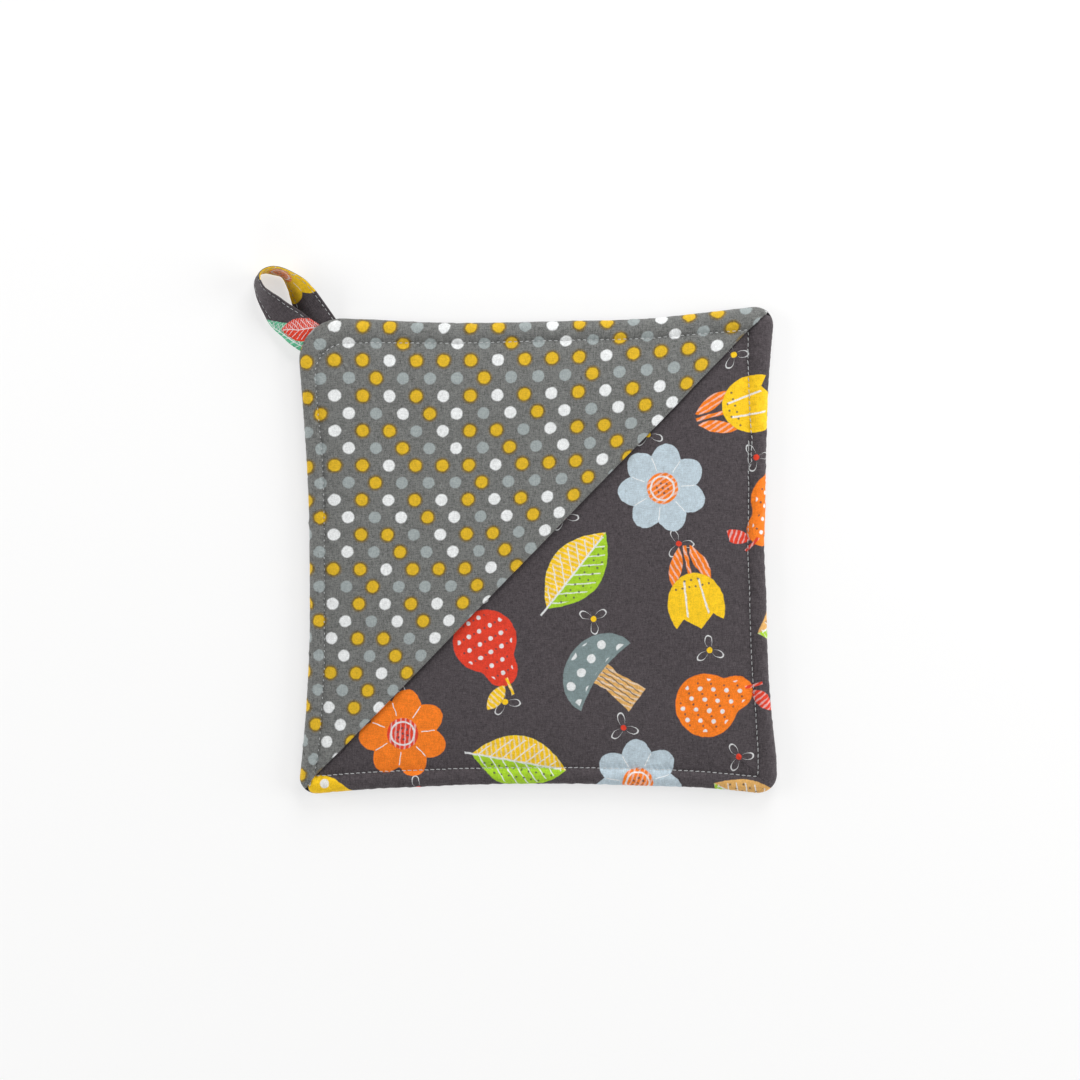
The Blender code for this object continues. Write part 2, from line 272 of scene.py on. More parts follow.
def ring_step(u, v):
    """The step of a grid point's ring."""
    return np.interp(ring_radius(u, v), RING_RADII, RING_STEPS)


def past_roll(step):
    """The share of the way from the roll to the topstitch."""
    return np.clip((step - ROLL_STEP) / (1.0 - ROLL_STEP), 0.0, 1.0)


def rim_inset(step, stitch):
    """How far in from the rim a ring lies in plan, with the topstitch at stitch."""
    rolled = ROLL_SHARE * stitch * (1.0 - np.cos(0.5 * math.pi * step / ROLL_STEP))
    return np.where(step < ROLL_STEP, rolled, stitch * mix(ROLL_SHARE, 1.0, past_roll(step)))


def cloth_inset(step, stitch):
    """The same, but measured along the cloth over the roll."""
    flat = (1.0 - ROLL_SHARE) * stitch
    rise = FRONT_ROLL - SEAM_HEIGHT
    quarter = 0.5 * math.pi * np.sqrt(0.5 * ((ROLL_SHARE * stitch) ** 2 + rise ** 2))
    rolled = flat + quarter * (1.0 - step / ROLL_STEP)
    return stitch - np.where(step < ROLL_STEP, rolled, flat * (1.0 - past_roll(step)))


def rim_height(step, seam, roll, channel):
    """The height of the rolled rim and of its slope down to the channel."""
    rolled = mix(seam, roll, np.sin(0.5 * math.pi * np.minimum(step, ROLL_STEP) / ROLL_STEP))
    return np.where(step < ROLL_STEP, rolled, mix(roll, channel, past_roll(step) ** 2))


def flap_share(u, v):
    """1 where the flap lies over the rim, 0 where it does not."""
    return smooth_share(1.0 + (v - u) / FLAP_BLEND)


def ring_place(u, v, step, hidden, inset=rim_inset):
    """A grid point's place before the sewing pulls it."""
    radius = np.maximum(ring_radius(u, v), TINY)
    inward = np.clip(2.0 - step, 0.0, 1.0)
    on_side = abs(u) >= abs(v)
    along = np.minimum(np.minimum(abs(u), abs(v)) / radius, 1.0)
    stitch_x = along_side(STITCH_INSET, "left", "right", u, np.copysign(along, v))
    stitch_y = along_side(STITCH_INSET, "bottom", "top", v, np.copysign(along, u))
    inset_x = hidden + inset(step, stitch_x - hidden)
    inset_y = hidden + inset(step, stitch_y - hidden)
    reach_x = (HALF - inset_x) * inward
    reach_y = (HALF - inset_y) * inward
    full_corner = by_corner(CORNER_RADIUS, u, v)
    share = (inset_x + inset_y) / (stitch_x + stitch_y)
    corner = mix(full_corner, by_corner(STITCH_CORNER_RADIUS, u, v), share) * inward
    straight = np.where(on_side, reach_y, reach_x) - corner
    full_straight = HALF - full_corner
    bend_from = full_straight / (full_straight + full_corner * BEND)
    crowded = mix(along, np.sin(0.5 * math.pi * along), CROWDING)
    angle = BEND * np.maximum(crowded - bend_from, 0.0) / (1.0 - bend_from)
    far = np.where(on_side, reach_x, reach_y) - corner * (1.0 - np.cos(angle))
    near = straight * np.minimum(crowded / bend_from, 1.0) + corner * np.sin(angle)
    x = np.where(on_side, far, near)
    y = np.where(on_side, near, far)
    return np.copysign(x, u), np.copysign(y, v)


def hollow(low, high, place, along):
    """How far the low or the high side is drawn in at a place along it."""
    power = by_side(DRAW_POWER, low, high, place)
    drawn_in = by_side(DRAW_IN, low, high, place) * np.maximum(1.0 - along ** 2, 0.0) ** power
    return drawn_in - along_side(RIM_STRAY, low, high, place, along)


def pulled(x, y, z):
    """Points after the sewing has pulled the corners and drawn in the sides."""
    across, upward = x / HALF, y / HALF
    moved_x, moved_y = x, y
    for (side, end), pull_x, pull_y in zip(CORNER_SIGNS, CORNER_PULL_X, CORNER_PULL_Y):
        weight = (0.5 + 0.5 * across * side) * (0.5 + 0.5 * upward * end)
        moved_x = moved_x + pull_x * weight
        moved_y = moved_y + pull_y * weight
    hollow_x = hollow("left", "right", x, upward)
    hollow_y = hollow("bottom", "top", y, across)
    moved_x = moved_x - np.copysign(1.0, x) * hollow_x * across ** 2
    moved_y = moved_y - np.copysign(1.0, y) * hollow_y * upward ** 2
    moved_y = moved_y + MIDDLE_SHIFT * (1.0 - across ** 2) * (1.0 - upward ** 2)
    return np.stack(np.broadcast_arrays(moved_x, moved_y, z), axis=-1)


def loop_opening(x, y, parts):
    """How far the seam opens for the loop's legs."""
    off = (x - LOOP_ENTRY[0]) ** 2 + (y - LOOP_ENTRY[1]) ** 2
    return parts * np.exp(-off / (2.0 * LOOP_ENTRY_REACH ** 2))


# Shifts of the settled outer cloths, on a regular grid over (u, v).
SETTLED = {}


def settled_shift(side, u, v):
    """The settled cloth's shift at grid points."""
    if side not in SETTLED:
        return np.zeros((*np.shape(u), 3))
    table = SETTLED[side]
    last = len(table) - 1
    column, row = (np.clip((way + 1.0) * 0.5 * last, 0.0, last - TINY) for way in (u, v))
    left, low = column.astype(int), row.astype(int)
    share = (column - left)[..., None]
    bottom, top = (mix(table[level, left], table[level, left + 1], share)
                   for level in (low, low + 1))
    return mix(bottom, top, (row - low)[..., None])


def front_face(u, v):
    step = ring_step(u, v)
    under = flap_share(u, v)
    x, y = ring_place(u, v, step, FLAP_DEPTH * under)
    roll = mix(FRONT_ROLL, FRONT_ROLL_UNDER_FLAP, under)
    seam = SEAM_HEIGHT + 0.5 * GAP + loop_opening(x, y, LOOP_PARTS_FRONT)
    past = np.maximum(step - 1.0, 0.0) * HALF
    risen = 1.0 - np.exp(-past / SWELL)
    crown = FRONT_CROWN * (1.0 - (x / HALF) ** 2) * (1.0 - (y / HALF) ** 2)
    inner = mix(FRONT_CHANNEL, FRONT_SHOULDER + crown, risen)
    z = np.where(step < 1.0, rim_height(step, seam, roll, FRONT_CHANNEL), inner)
    return pulled(x, y, z) + settled_shift("front", u, v)


def back_face(u, v):
    """The outer face of the back cloth, on the floor."""
    step = ring_step(u, v)
    x, y = ring_place(u, v, step, 0.0)
    seam = SEAM_HEIGHT - 0.5 * GAP - loop_opening(x, y, LOOP_PARTS_BACK)
    past = np.maximum(step - 1.0, 0.0) * HALF
    inner = BACK_CHANNEL * (1.0 - smooth_share(past / BACK_FLAT_FROM))
    z = np.where(step < 1.0, rim_height(step, seam, BACK_ROLL, BACK_CHANNEL), inner)
    places = pulled(x, y, z) + settled_shift("back", u, v)
    places[..., 2] = np.maximum(places[..., 2], 0.0)
    return places


def lifted(face, u, v, height):
    """Points above a face: square to it on the rolled rim, else straight up."""
    ahead = face(u + SLOPE_STEP, v) - face(u - SLOPE_STEP, v)
    above = face(u, v + SLOPE_STEP) - face(u, v - SLOPE_STEP)
    normal = unit(np.cross(ahead, above))
    on_roll = (ring_step(u, v) < ROLL_STEP)[..., None]
    way = np.where(on_roll, normal, [0.0, 0.0, 1.0])
    return face(u, v) + way * np.asarray(height)[..., None]


def cloth_place(u, v):
    """A grid point's place in plan, measured along the cloth over the roll."""
    x, y = ring_place(u, v, ring_step(u, v), 0.0, cloth_inset)
    return pulled(x, y, 0.0)[:, :2]


def pad_underside(u, v):
    """The underside of the padding, inside the back cloth."""
    inner = lifted(back_face, u, v, np.full(np.shape(u), BACK_CLOTH + GAP))
    under = flap_share(u, v)
    x, y = ring_place(u, v, np.zeros_like(u), mix(BACK_CLOTH + GAP, FLAP_DEPTH, under))
    seam = SEAM_HEIGHT + 0.5 * GAP + loop_opening(x, y, LOOP_PARTS_FRONT)
    edge = pulled(x, y, seam - SEAM_TUCK * under) + settled_shift("front", u, v)
    at_seam = (ring_radius(u, v) > 1.0 - TINY)[..., None]
    return np.where(at_seam, edge, inner)


def pad_place(u, v, turn):
    """The padded front: turn 0 is its underside and 1 its face."""
    return np.where((turn > 0.5)[:, None], front_face(u, v), pad_underside(u, v))


def back_place(u, v, turn):
    """The back cloth: turn 0 is its outer face and 1 its inner one."""
    return lifted(back_face, u, v, BACK_CLOTH * turn)


def near_fold(u, v):
    """1 on the flap's fold, easing to 0 away from it."""
    return np.exp(-((v - u) / MOUTH_WIDTH) ** 2)


def mouth_lift(u, v):
    """How far the flap stands off the pad along its fold."""
    along = np.clip(abs(u + v) * 0.5 / STITCH_RADIUS, 0.0, 1.0)
    return MOUTH_LIFT * near_fold(u, v) * (1.0 - along ** 4)


def flap_place(u, v, turn):
    """The middle of the flap's cloth: turn 0 is the lower leaf and 1 the upper."""
    low = GAP + 0.5 * LEAF
    high = FLAP_DEPTH - 0.5 * LEAF
    lift = mix(low, high, 0.5 - 0.5 * np.cos(math.pi * turn)) + mouth_lift(u, v)
    bulge = 0.5 * (high - low) * np.sin(math.pi * turn) - FOLD_DRAWN * near_fold(u, v)
    outward = np.array([FOLD_DIRECTION.y, -FOLD_DIRECTION.x, 0.0])
    return lifted(front_face, u, v, lift) + outward * bulge[..., None]


def outer_front(u, v):
    """The face that shows in front: the flap, or the printed front."""
    flap = lifted(front_face, u, v, FLAP_DEPTH + mouth_lift(u, v))
    return np.where((v - u > TINY)[..., None], flap, front_face(u, v))


def cloth_grid():
    """The flat grid of the square cloths, its cells cut toward the middle."""
    mesh = new_grid(CELLS, CELLS, 1.0)
    middles = {face: face.calc_center_median() for face in mesh.faces}
    rising = [face for face, middle in middles.items() if middle.x * middle.y > 0.0]
    falling = [face for face, middle in middles.items() if middle.x * middle.y < 0.0]
    bmesh.ops.triangulate(mesh, faces=rising, quad_method="FIXED")
    bmesh.ops.triangulate(mesh, faces=falling, quad_method="ALTERNATE")
    return mesh


def raised(mesh):
    """A flat grid made a closed slab whose upper points have Z at 1."""
    slab = bmesh.ops.extrude_face_region(mesh, geom=mesh.faces[:])
    for vertex in slab["geom"]:
        if isinstance(vertex, bmesh.types.BMVert):
            vertex.co.z = 1.0
    return mesh


def new_grid(across, up, size):
    mesh = bmesh.new()
    bmesh.ops.create_grid(mesh, x_segments=across, y_segments=up, size=size)
    return mesh


def mesh_data(name, mesh):
    data = bpy.data.meshes.new(name)
    mesh.to_mesh(data)
    mesh.free()
    return data


def weld(data, reach):
    """Join points that lie within reach, and close the holes at a mesh's ends."""
    mesh = bmesh.new()
    mesh.from_mesh(data)
    bmesh.ops.remove_doubles(mesh, verts=mesh.verts[:], dist=reach)
    open_edges = [edge for edge in mesh.edges if edge.is_boundary]
    bmesh.ops.holes_fill(mesh, edges=open_edges)
    bmesh.ops.recalc_face_normals(mesh, faces=mesh.faces[:])
    mesh.to_mesh(data)
    mesh.free()


def points_of(data):
    flat = np.empty(3 * len(data.vertices))
    data.vertices.foreach_get("co", flat)
    return flat.reshape(-1, 3)


def add_layer(data, name, values):
    """Give a mesh a UV map from a pair of values for each vertex."""
    corners = np.empty(len(data.loops), dtype=np.int32)
    data.loops.foreach_get("vertex_index", corners)
    layer = data.uv_layers.new(name=name)
    layer.data.foreach_set("uv", np.ascontiguousarray(values[corners], dtype=np.float32).ravel())


def placed(name, data):
    thing = bpy.data.objects.new(name, data)
    bpy.context.scene.collection.objects.link(thing)
    return thing


def finished(name, data, material):
    """A smooth piece that rides on the pot holder."""
    data.shade_smooth()
    data.materials.append(material)
    piece = placed(name, data)
    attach(piece, "root")
    return piece


def cloth_piece(name, data, node, slot, coloured):
    """A piece of cotton that stands for a CAD node."""
    piece = finished(name, data, cotton(slot, coloured))
    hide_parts(node)
    return piece


def shaped_cloth(name, mesh, shape, *looks):
    """A grid shaped into a piece, with its flat cloth and seam as UV maps."""
    data = mesh_data(name, mesh)
    u, v, turn = points_of(data).T
    add_layer(data, "cloth", cloth_place(u, v))
    add_layer(data, "seam", seam_place(u, v))
    data.vertices.foreach_set("co", shape(u, v, turn).ravel())
    return cloth_piece(name, data, *looks)


def half_sides():
    """The runs of topstitch from a corner to the middle of a side, in grid directions."""
    corners = ((-1, 1), (1, 1), (1, -1), (-1, -1))
    return [(corner, middle) for corner in corners for middle in ((0, corner[1]), (corner[0], 0))]


def run_grid(run, share, radius=STITCH_RADIUS):
    """Grid points at shares of the way along a run."""
    corner, middle = run
    return radius * mix(corner[0], middle[0], share), radius * mix(corner[1], middle[1], share)


def run_stitches(run):
    """Shares of the way along a run, its length up to each, and its stitches."""
    share = np.linspace(0.0, 1.0, RUN_STEPS)
    u, v = run_grid(run, share)
    x, y = ring_place(u, v, np.ones_like(u), 0.0)
    lengths = lengths_along(pulled(x, y, 0.0))
    return share, lengths, round(lengths[-1] / STITCH_PITCH)


def seam_place(u, v):
    """Stitches from the nearest corner, and millimetres in from the stitch line."""
    radius = np.maximum(ring_radius(u, v), TINY)
    from_corner = 1.0 - np.minimum(abs(u), abs(v)) / radius
    place = np.zeros_like(u)
    for corner, middle in half_sides():
        share, lengths, count = run_stitches((corner, middle))
        on_level = middle[0] == 0
        mine = (u * corner[0] >= 0) & (v * corner[1] >= 0) & ((abs(v) >= abs(u)) == on_level)
        stitches = lengths / lengths[-1] * count
        place = np.where(mine, np.interp(from_corner, share, stitches), place)
    step = ring_step(u, v)
    outward = cloth_inset(step, USUAL_INSET) - USUAL_INSET
    return np.stack([place, np.where(step < 1.0, outward, (step - 1.0) * HALF) / MM], axis=-1)


def calmed(table):
    """Settled shifts made smoother inside the topstitch."""
    u, v = np.meshgrid(*[np.linspace(-1.0, 1.0, len(table))] * 2)
    calm = smooth_share((ring_step(u, v) - CALM_FROM) / CALM_OVER)[..., None]
    smooth = table
    for _ in range(CALM_PASSES):
        around = sum(np.roll(smooth, step, axis) for step in (-1, 1) for axis in (0, 1))
        smooth = mix(smooth, 0.25 * around, 0.5)
    return mix(table, smooth, calm)


def firmness(step, is_front):
    """How firmly each point of the slab is held."""
    held = np.interp(step, HELD_STEPS, HELD_SHARES)
    on_floor = np.interp(step, BACK_HELD_STEPS, BACK_HELD_SHARES)
    return np.where(is_front, held, np.maximum(held, on_floor))


def simulated(data, held):
    """The points of a mesh after the cloth simulation, which uses it up."""
    cloth = placed("settling", data)
    pins = cloth.vertex_groups.new(name="held")
    for index, hold in enumerate(held):
        pins.add([index], float(hold), "REPLACE")
    modifier = cloth.modifiers.new("settle", "CLOTH")
    for name, value in SETTLE_SETTINGS.items():
        setattr(modifier.settings, name, value)
    modifier.settings.effector_weights.gravity = 0.0
    modifier.collision_settings.use_collision = False
    scene = bpy.context.scene
    for number in range(1, SETTLE_FRAMES + 1):
        scene.frame_set(number)
    evaluated = cloth.evaluated_get(bpy.context.evaluated_depsgraph_get())
    places = points_of(evaluated.to_mesh())
    evaluated.to_mesh_clear()
    bpy.data.objects.remove(cloth)
    bpy.data.meshes.remove(data)
    scene.frame_set(1)
    return places


def settle_outer_cloths():
    """Let the front and back cloths settle: the filling presses them out, a little spare
    cloth puckers, and the topstitch holds them down."""
    data = mesh_data("settling", raised(new_grid(SETTLE_CELLS, SETTLE_CELLS, 1.0)))
    u, v, turn = points_of(data).T
    is_front = turn > 0.5
    start = np.where(is_front[:, None], front_face(u, v), back_face(u, v))
    held = firmness(ring_step(u, v), is_front)
    rough = np.random.default_rng(7).normal(0.0, SETTLE_ROUGHNESS, len(u))
    roughened = start + np.where(held < FIRMLY, rough, 0.0)[:, None] * [0.0, 0.0, 1.0]
    data.vertices.foreach_set("co", (roughened * SETTLE_SCALE).ravel())
    shift = simulated(data, held) / SETTLE_SCALE - start
    length = np.linalg.norm(shift, axis=1, keepdims=True)
    shift *= SETTLE_LIMIT / np.maximum(length, 1e-12) * np.tanh(length / SETTLE_LIMIT)
    row, column = (np.rint((way + 1.0) * 0.5 * SETTLE_CELLS).astype(int) for way in (v, u))
    for side, mine in (("front", is_front), ("back", ~is_front)):
        table = np.zeros((SETTLE_CELLS + 1, SETTLE_CELLS + 1, 3))
        table[row[mine], column[mine]] = shift[mine]
        SETTLED[side] = calmed(table)
    ways = np.linspace(-1.0, 1.0, SETTLE_CELLS + 1)
    seam = ring_radius(ways[:, None], ways) > 1.0 - TINY
    SETTLED["back"][seam] = SETTLED["front"][seam]


def operator(operation, swapped=False):
    """A method of Field that adds a math node; swapped puts self last."""
    def method(self, *others):
        return worked(self.tree, operation, *((*others, self) if swapped else (self, *others)))
    return method


class Field:
    """A number that varies over a surface, made by shader nodes."""

    def __init__(self, tree, socket):
        self.tree = tree
        self.socket = socket

    def use(self, operation, *others):
        return worked(self.tree, operation, self, *others)

    __add__ = operator("ADD")
    __radd__ = operator("ADD", swapped=True)
    __sub__ = operator("SUBTRACT")
    __rsub__ = operator("SUBTRACT", swapped=True)
    __mul__ = operator("MULTIPLY")
    __rmul__ = operator("MULTIPLY", swapped=True)
    __truediv__ = operator("DIVIDE")
    __pow__ = operator("POWER")
    __mod__ = operator("FLOORED_MODULO")
    __abs__ = operator("ABSOLUTE")

    def __neg__(self):
        return self * -1.0


def feed(node, inputs):
    """Give input sockets their fields, sockets, colours or numbers."""
    for key, value in inputs.items():
        socket = node.inputs[key]
        if isinstance(value, Field):
            value = value.socket
        if isinstance(value, bpy.types.NodeSocket):
            node.id_data.links.new(value, socket)
        else:
            socket.default_value = (*value, 1.0) if socket.type == "RGBA" else value


def new_node(tree, kind, inputs, **settings):
    node = tree.nodes.new("ShaderNode" + kind)
    for name, value in settings.items():
        setattr(node, name, value)
    feed(node, inputs)
    return node


def worked(tree, operation, *values):
    node = new_node(tree, "Math", dict(enumerate(values)), operation=operation)
    return Field(tree, node.outputs[0])


def length_of(x, y):
    return (x * x + y * y).use("SQRT")


def both(*distances):
    first, *others = distances
    for other in others:
        first = first.use("MAXIMUM", other)
    return first


def either(first, second):
    return first.use("MINIMUM", second)


def inside(distance, softness):
    """1 where a distance is negative, with a soft edge."""
    return (distance * (-1.0 / softness) + 0.5).use("MINIMUM", 1.0).use("MAXIMUM", 0.0)


def bell(distance, width):
    """1 where a distance is nothing, easing to 0 beyond the width."""
    share = distance / width
    return (share * share * -1.0).use("EXPONENT")


def joined(x, y, z):
    return new_node(x.tree, "CombineXYZ", {0: x, 1: y, 2: z}).outputs[0]


def parts_of(tree, vector):
    """The three fields of a vector socket."""
    split = new_node(tree, "SeparateXYZ", {0: vector})
    return [Field(tree, socket) for socket in split.outputs]


def random_numbers(x, y, seed):
    """Three random fields of 0 to 1 for each whole number of x and y."""
    place = {"Vector": joined(x, y, seed)}
    node = new_node(x.tree, "TexWhiteNoise", place, noise_dimensions="3D")
    split = new_node(x.tree, "SeparateColor", {0: node.outputs["Color"]})
    return [Field(x.tree, socket) for socket in split.outputs]


def noise(x, y, scale, detail, seed=0.0):
    """A smooth noise of about -0.5 to 0.5."""
    inputs = {"Vector": joined(x, y, seed), "Scale": scale, "Detail": detail}
    return Field(x.tree, new_node(x.tree, "TexNoise", inputs).outputs["Fac"]) - 0.5


def turned(x, y, cosine, sine):
    """Coordinates in axes that are turned by an angle."""
    return x * cosine + y * sine, y * cosine - x * sine


def painted(below, colour, mask):
    """A colour laid over another where the mask is 1."""
    return new_node(mask.tree, "Mix", {0: mask, 6: below, 7: colour}, data_type="RGBA").outputs[2]


def shaded(colour, amount):
    """A colour made lighter or darker by a field around 1."""
    inputs = {0: colour, "Scale": amount}
    return new_node(amount.tree, "VectorMath", inputs, operation="SCALE").outputs[0]


def chosen_colour(index, colours):
    """The colour of a list that a whole-number field picks."""
    ramp = new_node(index.tree, "ValToRGB", {0: (index + 0.5) / len(colours)})
    ramp.color_ramp.interpolation = "CONSTANT"
    stops = ramp.color_ramp.elements
    while len(stops) > 1:
        stops.remove(stops[-1])
    stops[0].position = 0.0
    stops[0].color = (*colours[0], 1.0)
    for place, colour in enumerate(colours[1:], start=1):
        stops.new(place / len(colours)).color = (*colour, 1.0)
    return ramp.outputs[0]


def linear(red, green, blue):
    """A linear colour from its 0 to 255 levels."""
    levels = [value / 255.0 for value in (red, green, blue)]
    return tuple(v / 12.92 if v <= 0.04045 else ((v + 0.055) / 1.055) ** 2.4 for v in levels)


LIME = linear(160, 202, 44)
YELLOW = linear(243, 197, 30)
ORANGE = linear(240, 124, 30)
RED = linear(219, 62, 40)
PALE_BLUE = linear(184, 199, 208)
BLUE_GREY = linear(122, 138, 139)
TAN = linear(217, 168, 98)
GREEN = linear(92, 178, 138)
WHITE = linear(227, 229, 229)
CREAM = linear(233, 222, 202)
CHARCOAL = linear(74, 68, 71)
GREY = linear(110, 111, 109)
MUSTARD = linear(214, 173, 36)
PALE_GREY = linear(153, 161, 161)
# One grey thread in painted shade and in painted light, for the stripes of its twisted plies.
THREAD_IN_PLY_SHADE = linear(166, 168, 169)
THREAD_LIT_PLY = linear(212, 214, 214)

# The width of a yarn in millimetres, and the patches of like yarns in yarns.
YARN = 0.38
YARN_PATCH = 3.0

# What each unevenness adds to the cloth's relief in millimetres, and to its lightness. The
# weave's share of the lightness is painted shade between the yarns, and the groove's is painted
# shade in the topstitch channel.
WEAVE_RELIEF = 0.05
SLUB_RELIEF = 0.05
PUCKER_RELIEF = -0.1
CRUMPLE_RELIEF = 0.35
WEAVE_PAINTED_SHADING = 0.12
SLUB_LIGHT = 0.75
FUZZ_LIGHT = 0.95
YARN_LIGHT = 0.5
GROOVE_PAINTED_SHADE = 0.12
PLAIN_LIGHT = 0.93


def woven(shader, x, y, count, from_stitch):
    """Plain weave, slubs and the puckers of the topstitch as relief; returns how light the
    yarns are, with painted shade between the yarns and in the channel along the topstitch."""
    warp, weft = (abs((way * (math.pi / YARN)).use("SINE")) for way in (x, y))
    column, row = ((way / YARN).use("FLOOR") for way in (x, y))
    warp_over = (column + row) % 2.0
    weft_top = weft * (warp * 0.4 + 0.6)
    weave = weft_top + (warp * (weft * 0.4 + 0.6) - weft_top) * warp_over
    slubs = noise(x * 0.3, y * 2.4, 1.0, 2.0) + noise(x * 2.4, y * 0.3, 1.0, 2.0, 5.0)
    fuzz = noise(x, y, 1.5, 3.0, 9.0)
    warp_tone = random_numbers(column, (row / YARN_PATCH).use("FLOOR"), 7.0)[0]
    weft_tone = random_numbers((column / YARN_PATCH).use("FLOOR"), row, 8.0)[0]
    yarn = weft_tone + (warp_tone - weft_tone) * warp_over - 0.5
    near_stitch = (from_stitch * from_stitch * -0.12).use("EXPONENT")
    pucker = (count * (2.0 * math.pi)).use("COSINE") * near_stitch
    crumple = noise(x, y, 0.09, 3.0, 3.0)
    height = weave * WEAVE_RELIEF + slubs * SLUB_RELIEF
    height = height + pucker * PUCKER_RELIEF + crumple * CRUMPLE_RELIEF
    relief = new_node(x.tree, "Bump", {"Strength": 0.7, "Distance": MM, "Height": height})
    feed(shader, {
        "Normal": relief.outputs[0],
        "Roughness": 0.88,
        "Specular IOR Level": 0.25,
        "Sheen Weight": 0.12,
        "Sheen Roughness": 0.45,
    })
    # Painted shade: the colour is darkened in the sewn channel along the topstitch.
    painted_groove_shade = (from_stitch * from_stitch * -3.0).use("EXPONENT")
    # The weave term is painted shade: the yarns' raised crossings lighter and the gaps between
    # them darker.
    light = PLAIN_LIGHT + weave * WEAVE_PAINTED_SHADING + slubs * SLUB_LIGHT + fuzz * FUZZ_LIGHT
    return light + yarn * YARN_LIGHT - painted_groove_shade * GROOVE_PAINTED_SHADE


def empty_material(name):
    material = bpy.data.materials.new(name)
    material.use_nodes = True
    return material, material.node_tree, material.node_tree.nodes["Principled BSDF"]


def cotton(name, coloured):
    """Woven cotton, coloured by a place in millimetres and by how light the yarns are, painted
    shade of the weave and of the topstitch groove included.
    """
    material, tree, shader = empty_material(name)
    cloth, seam = (new_node(tree, "UVMap", {}, uv_map=layer) for layer in ("cloth", "seam"))
    x, y, _ = parts_of(tree, cloth.outputs[0])
    count, from_stitch, _ = parts_of(tree, seam.outputs[0])
    x, y = x / MM, y / MM
    feed(shader, {"Base Color": coloured(x, y, woven(shader, x, y, count, from_stitch))})
    return material


# The dots' repeat, the colours of the dots and of the ground round each, and millimetres.
DOT_CHART = ("GWYY", "GWGY", "YYYW", "GGYG", "YWYW", "YWGW")
DOT_COLOURS = {"W": WHITE, "Y": MUSTARD, "G": PALE_GREY}
DOT_STAINS = {"W": GREY, "Y": linear(118, 97, 44), "G": GREY}
DOT_PITCH = 11.31
DOT_ROW = 7.375
DOT_FIRST = (-98.9, 97.0)
DOT_RADIUS = 2.6
DOT_WAVER = 0.6

# How the dotted cloth lies, as shifts across and up at 100 mm from the middle.
DOTS_ASKEW = (-5.7, -5.0)
DOTS_BOWED = (2.5, -4.0)
DOTS_TWISTED = (-3.8, 1.5)

# How far the dotted cloth is drawn off that lie: at the left rim, along its upper part, at
# the top right corner and at the top rim. A bell has a middle and a width, and a fade has the
# height that it is about and its reach.
DRAWN_LEFT = -2.2
LEFT_BELL = (-103.0, 14.0)
LEFT_FADE = (-25.0, 70.0)
DRAWN_ALONG = (0.8, -1.7)
ALONG_BELL = (-103.0, 11.0)
ALONG_FADE = (15.0, 130.0)
DRAWN_CORNER = (1.6, 0.7)
CORNER_BELL = (95.0, 98.0, 25.0)
DRAWN_TOP = 0.8
TOP_FADE = (72.0, 24.0)


def fade(y, height, over):
    return inside(height - y, over)


def dots_drawn(x, y):
    """How far the dotted cloth is drawn to the right and up near the rim."""
    left = bell(x - LEFT_BELL[0], LEFT_BELL[1]) * fade(y, *LEFT_FADE)
    along = bell(x - ALONG_BELL[0], ALONG_BELL[1]) * fade(y, *ALONG_FADE)
    corner = bell(length_of(x - CORNER_BELL[0], y - CORNER_BELL[1]), CORNER_BELL[2])
    to_right = corner * DRAWN_CORNER[0] + along * DRAWN_ALONG[0] + left * DRAWN_LEFT
    to_top = corner * DRAWN_CORNER[1] + along * DRAWN_ALONG[1] + fade(y, *TOP_FADE) * DRAWN_TOP
    return to_right, to_top


def dots_place(x, y):
    """A point's place on the dotted cloth's own even rows."""
    far = y / 100.0, x / 100.0
    painted_twist_shading = far[0] * far[1]
    lies = zip((x, y), far, DOTS_ASKEW, DOTS_BOWED, DOTS_TWISTED, dots_drawn(x, y))
    return [way + other * askew + other * other * bowed + painted_twist_shading * twisted - drawn_off
            for way, other, askew, bowed, twisted, drawn_off in lies]


def dotted(x, y, light):
    """Staggered rows of white, mustard and pale grey dots on mid grey."""
    lies_x, lies_y = dots_place(x, y)
    down = DOT_FIRST[1] - lies_y + noise(x, y, 0.55, 2.0, 2.0) * DOT_WAVER
    row = (down / DOT_ROW + 0.5).use("FLOOR")
    staggered = lies_x - DOT_FIRST[0] - (row % 2.0) * (0.5 * DOT_PITCH)
    across = staggered + noise(x, y, 0.55, 2.0, 1.0) * DOT_WAVER
    column = (across / DOT_PITCH + 0.5).use("FLOOR")
    distance = length_of(across - column * DOT_PITCH, down - row * DOT_ROW) - DOT_RADIUS
    rows, columns = float(len(DOT_CHART)), float(len(DOT_CHART[0]))
    index = (row % rows) * columns + column % columns
    dot, stain = (chosen_colour(index, [colours[letter] for letter in "".join(DOT_CHART)])
                  for colours in (DOT_COLOURS, DOT_STAINS))
    ink = 0.6 + light * 0.4 + noise(x, y, 1.3, 2.0, 4.0) * 0.12
    colour = painted(shaded(GREY, light), shaded(stain, light), inside(distance - 0.7, 1.1))
    return painted(colour, shaded(dot, ink), inside(distance + 0.1, 0.5))


def ellipse(x, y, middle_x, middle_y, radius_x, radius_y):
    """About how far a point lies outside an ellipse."""
    reach = length_of((x - middle_x) / radius_x, (y - middle_y) / radius_y)
    return (reach - 1.0) * min(radius_x, radius_y)


def specks(x, y, pitch, radius):
    """How far a point lies outside the dots of a staggered grid."""
    row = (y / pitch + 0.5).use("FLOOR")
    shifted = x - (row % 2.0) * (0.5 * pitch)
    column = (shifted / pitch + 0.5).use("FLOOR")
    return length_of(shifted - column * pitch, y - row * pitch) - radius


